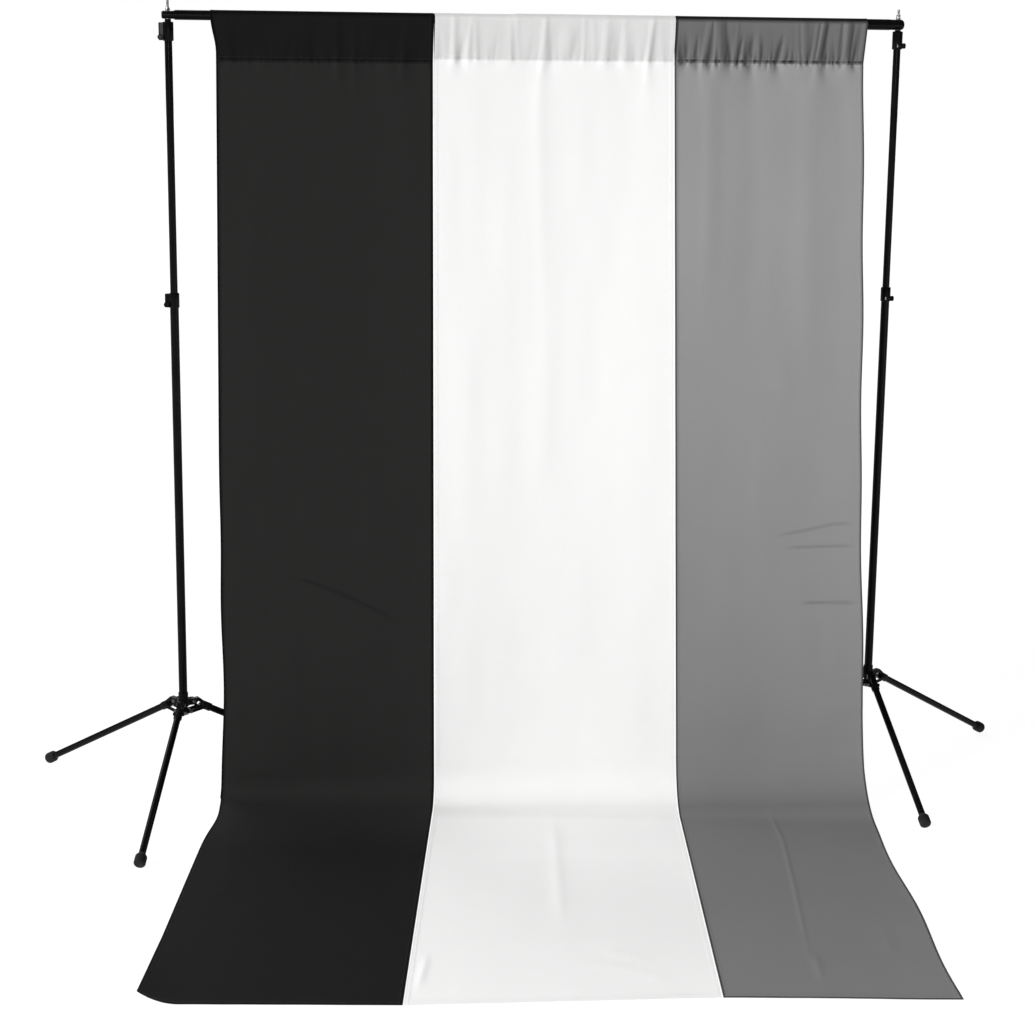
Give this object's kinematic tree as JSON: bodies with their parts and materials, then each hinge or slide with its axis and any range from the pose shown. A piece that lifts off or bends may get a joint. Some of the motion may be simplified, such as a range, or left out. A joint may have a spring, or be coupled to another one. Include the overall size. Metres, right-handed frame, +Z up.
{
  "type": "background support system",
  "caption": "Studio background support: telescopic crossbar on folding tripod stands, with fabric panels hung side by side and swept forward over the floor.",
  "frame": {"origin": "on the floor, under the middle of the whole assembly's box", "axes": "+X along the crossbar towards the right stand, +Z up, -Y forward over the lying fabric to the camera"},
  "size_m": [2.4518, 1.7014, 1.865],
  "materials": {
    "tube_black": "satin",
    "plastic_black": "matte",
    "rubber_black": "matte",
    "steel_bright": "satin",
    "cloth_black": "matte",
    "cloth_white": "matte",
    "cloth_gray": "matte"
  },
  "bodies": {
    "root": {"right_column_tube": "tube_black", "right_column_clamp": "plastic_black", "right_brace_collar": "plastic_black", "right_brace_collar_rivets": "steel_bright"},
    "right_crown": {"right_crown": "plastic_black", "right_crown_rivets": "steel_bright"},
    "right_crown_knob": {"right_crown_knob": "plastic_black"},
    "right_leg_1": {"right_leg_1_tube": "tube_black", "right_leg_1_yoke": "plastic_black", "right_leg_1_foot": "rubber_black"},
    "right_brace_1": {"right_brace_1": "tube_black"},
    "right_leg_2": {"right_leg_2_tube": "tube_black", "right_leg_2_yoke": "plastic_black", "right_leg_2_foot": "rubber_black"},
    "right_brace_2": {"right_brace_2": "tube_black"},
    "right_leg_3": {"right_leg_3_tube": "tube_black", "right_leg_3_yoke": "plastic_black", "right_leg_3_foot": "rubber_black"},
    "right_brace_3": {"right_brace_3": "tube_black"},
    "right_column_knob": {"right_column_clamp_knob": "plastic_black"},
    "right_riser_1": {"right_riser_1_tube": "tube_black", "right_riser_1_clamp": "plastic_black"},
    "right_riser_1_knob": {"right_riser_1_clamp_knob": "plastic_black"},
    "right_riser_2": {"right_riser_2_tube": "tube_black", "right_stud": "steel_bright"},
    "right_wing_nut": {"right_wing_nut": "steel_bright"},
    "left_base": {"left_column_tube": "tube_black", "left_column_clamp": "plastic_black", "left_brace_collar": "plastic_black", "left_brace_collar_rivets": "steel_bright"},
    "left_crown": {"left_crown": "plastic_black", "left_crown_rivets": "steel_bright"},
    "left_crown_knob": {"left_crown_knob": "plastic_black"},
    "left_leg_1": {"left_leg_1_tube": "tube_black", "left_leg_1_yoke": "plastic_black", "left_leg_1_foot": "rubber_black"},
    "left_brace_1": {"left_brace_1": "tube_black"},
    "left_leg_2": {"left_leg_2_tube": "tube_black", "left_leg_2_yoke": "plastic_black", "left_leg_2_foot": "rubber_black"},
    "left_brace_2": {"left_brace_2": "tube_black"},
    "left_leg_3": {"left_leg_3_tube": "tube_black", "left_leg_3_yoke": "plastic_black", "left_leg_3_foot": "rubber_black"},
    "left_brace_3": {"left_brace_3": "tube_black"},
    "left_column_knob": {"left_column_clamp_knob": "plastic_black"},
    "left_riser_1": {"left_riser_1_tube": "tube_black", "left_riser_1_clamp": "plastic_black"},
    "left_riser_1_knob": {"left_riser_1_clamp_knob": "plastic_black"},
    "left_riser_2": {"left_riser_2_tube": "tube_black", "left_stud": "steel_bright"},
    "left_wing_nut": {"left_wing_nut": "steel_bright"},
    "crossbar": {"crossbar_outer_tube": "tube_black", "crossbar_middle_tube": "tube_black", "crossbar_outer_plug": "plastic_black", "backdrop_black": "cloth_black", "backdrop_white": "cloth_white", "backdrop_gray": "cloth_gray"},
    "crossbar_inner": {"crossbar_inner_tube": "tube_black", "crossbar_inner_plug": "plastic_black"}
  },
  "joints": [
    {"name": "right_crown_slide", "type": "slide", "parent": "root", "child": "right_crown", "axis": [0, 0, 1], "range_m": [0, 0.04505]},
    {"name": "right_crown_knob_turn", "type": "hinge", "parent": "right_crown", "child": "right_crown_knob", "pos_m": [0.815, 0.52099, 0.2575], "axis": [-0.8746, -0.4848, 0], "range_deg": [0, 360]},
    {"name": "right_leg_fold", "type": "hinge", "parent": "right_crown", "child": "right_leg_1", "pos_m": [0.83599, 0.53262, 0.241], "axis": [-0.4848, 0.8746, 0], "range_deg": [0, 58.16]},
    {"name": "right_leg_2_fold", "type": "hinge", "parent": "right_crown", "child": "right_leg_2", "pos_m": [0.79442, 0.53335, 0.241], "axis": [-0.515, -0.8572, 0], "range_deg": [0, 58.19]},
    {"name": "right_leg_3_fold", "type": "hinge", "parent": "right_crown", "child": "right_leg_3", "pos_m": [0.81458, 0.49699, 0.241], "axis": [0.9998, -0.0175, 0], "range_deg": [0, 58.19]},
    {"name": "right_brace_1_turn", "type": "hinge", "parent": "root", "child": "right_brace_1", "pos_m": [0.82855, 0.5285, 0.218], "axis": [0.4848, -0.8746, 0], "range_deg": [0, 61.13]},
    {"name": "right_brace_2_turn", "type": "hinge", "parent": "root", "child": "right_brace_2", "pos_m": [0.80171, 0.52897, 0.218], "axis": [0.515, 0.8572, 0], "range_deg": [0, 61.13]},
    {"name": "right_brace_3_turn", "type": "hinge", "parent": "root", "child": "right_brace_3", "pos_m": [0.81473, 0.50549, 0.218], "axis": [-0.9998, 0.0175, 0], "range_deg": [0, 61.13]},
    {"name": "right_column_knob_turn", "type": "hinge", "parent": "root", "child": "right_column_knob", "pos_m": [0.815, 0.50319, 1.1865], "axis": [1, 0, 0], "range_deg": [0, 360]},
    {"name": "right_riser_1_knob_turn", "type": "hinge", "parent": "right_riser_1", "child": "right_riser_1_knob", "pos_m": [0.815, 0.50319, 1.7815], "axis": [1, 0, 0], "range_deg": [0, 360]},
    {"name": "right_riser_1_slide", "type": "slide", "parent": "root", "child": "right_riser_1", "axis": [0, 0, 1], "range_m": [0, 0.208]},
    {"name": "right_riser_2_slide", "type": "slide", "parent": "right_riser_1", "child": "right_riser_2", "axis": [0, 0, 1], "range_m": [0, 0.56238]},
    {"name": "right_wing_nut_turn", "type": "hinge", "parent": "right_riser_2", "child": "right_wing_nut", "pos_m": [0.815, 0.52099, 1.842], "axis": [0, 0, 1], "range_deg": [0, 360]},
    {"name": "left_stand_spread", "type": "slide", "parent": "root", "child": "left_base", "axis": [-1, 0, 0], "range_m": [0, 0.75]},
    {"name": "left_crown_slide", "type": "slide", "parent": "left_base", "child": "left_crown", "axis": [0, 0, 1], "range_m": [0, 0.04505]},
    {"name": "left_crown_knob_turn", "type": "hinge", "parent": "left_crown", "child": "left_crown_knob", "pos_m": [-0.885, 0.52099, 0.2575], "axis": [0.2419, 0.9703, 0], "range_deg": [0, 360]},
    {"name": "left_leg_fold", "type": "hinge", "parent": "left_crown", "child": "left_leg_1", "pos_m": [-0.90227, 0.53766, 0.241], "axis": [-0.6947, -0.7193, 0], "range_deg": [0, 58.16]},
    {"name": "left_leg_2_fold", "type": "hinge", "parent": "left_crown", "child": "left_leg_2", "pos_m": [-0.89081, 0.4977, 0.241], "axis": [0.9703, -0.2419, 0], "range_deg": [0, 58.19]},
    {"name": "left_leg_3_fold", "type": "hinge", "parent": "left_crown", "child": "left_leg_3", "pos_m": [-0.86193, 0.5276, 0.241], "axis": [-0.2756, 0.9613, 0], "range_deg": [0, 58.19]},
    {"name": "left_brace_1_turn", "type": "hinge", "parent": "left_base", "child": "left_brace_1", "pos_m": [-0.89615, 0.53176, 0.218], "axis": [0.6947, 0.7193, 0], "range_deg": [0, 61.13]},
    {"name": "left_brace_2_turn", "type": "hinge", "parent": "left_base", "child": "left_brace_2", "pos_m": [-0.88875, 0.50595, 0.218], "axis": [-0.9703, 0.2419, 0], "range_deg": [0, 61.13]},
    {"name": "left_brace_3_turn", "type": "hinge", "parent": "left_base", "child": "left_brace_3", "pos_m": [-0.87011, 0.52526, 0.218], "axis": [0.2756, -0.9613, 0], "range_deg": [0, 61.13]},
    {"name": "left_column_knob_turn", "type": "hinge", "parent": "left_base", "child": "left_column_knob", "pos_m": [-0.9028, 0.52099, 1.1865], "axis": [0, -1, 0], "range_deg": [0, 360]},
    {"name": "left_riser_1_knob_turn", "type": "hinge", "parent": "left_riser_1", "child": "left_riser_1_knob", "pos_m": [-0.9028, 0.52099, 1.7815], "axis": [0, -1, 0], "range_deg": [0, 360]},
    {"name": "left_riser_1_slide", "type": "slide", "parent": "left_base", "child": "left_riser_1", "axis": [0, 0, 1], "range_m": [0, 0.208]},
    {"name": "left_riser_2_slide", "type": "slide", "parent": "left_riser_1", "child": "left_riser_2", "axis": [0, 0, 1], "range_m": [0, 0.56238]},
    {"name": "left_wing_nut_turn", "type": "hinge", "parent": "left_riser_2", "child": "left_wing_nut", "pos_m": [-0.885, 0.52099, 1.83885], "axis": [0, 0, 1], "range_deg": [0, 360]},
    {"name": "crossbar_height", "type": "slide", "parent": "root", "child": "crossbar", "axis": [0, 0, 1], "range_m": [0, 0.77]},
    {"name": "crossbar_inner_slide", "type": "slide", "parent": "crossbar", "child": "crossbar_inner", "axis": [-1, 0, 0], "range_m": [0, 0.75038]}
  ],
  "couplings": [
    {"joint": "right_crown_slide", "follows": "right_leg_fold", "m_per_rad": 0.04436},
    {"joint": "right_leg_2_fold", "follows": "right_leg_fold", "ratio": 1},
    {"joint": "right_leg_3_fold", "follows": "right_leg_fold", "ratio": 1},
    {"joint": "right_brace_1_turn", "follows": "right_leg_fold", "ratio": 1.0506},
    {"joint": "right_brace_2_turn", "follows": "right_leg_fold", "ratio": 1.0506},
    {"joint": "right_brace_3_turn", "follows": "right_leg_fold", "ratio": 1.0506},
    {"joint": "right_riser_1_slide", "follows": "crossbar_height", "ratio": 0.27},
    {"joint": "right_riser_2_slide", "follows": "crossbar_height", "ratio": 0.73},
    {"joint": "left_crown_slide", "follows": "left_leg_fold", "m_per_rad": 0.04436},
    {"joint": "left_leg_2_fold", "follows": "left_leg_fold", "ratio": 1},
    {"joint": "left_leg_3_fold", "follows": "left_leg_fold", "ratio": 1},
    {"joint": "left_brace_1_turn", "follows": "left_leg_fold", "ratio": 1.0506},
    {"joint": "left_brace_2_turn", "follows": "left_leg_fold", "ratio": 1.0506},
    {"joint": "left_brace_3_turn", "follows": "left_leg_fold", "ratio": 1.0506},
    {"joint": "left_riser_1_slide", "follows": "crossbar_height", "ratio": 0.27},
    {"joint": "left_riser_2_slide", "follows": "crossbar_height", "ratio": 0.73},
    {"joint": "crossbar_inner_slide", "follows": "left_stand_spread", "ratio": 1}
  ]
}
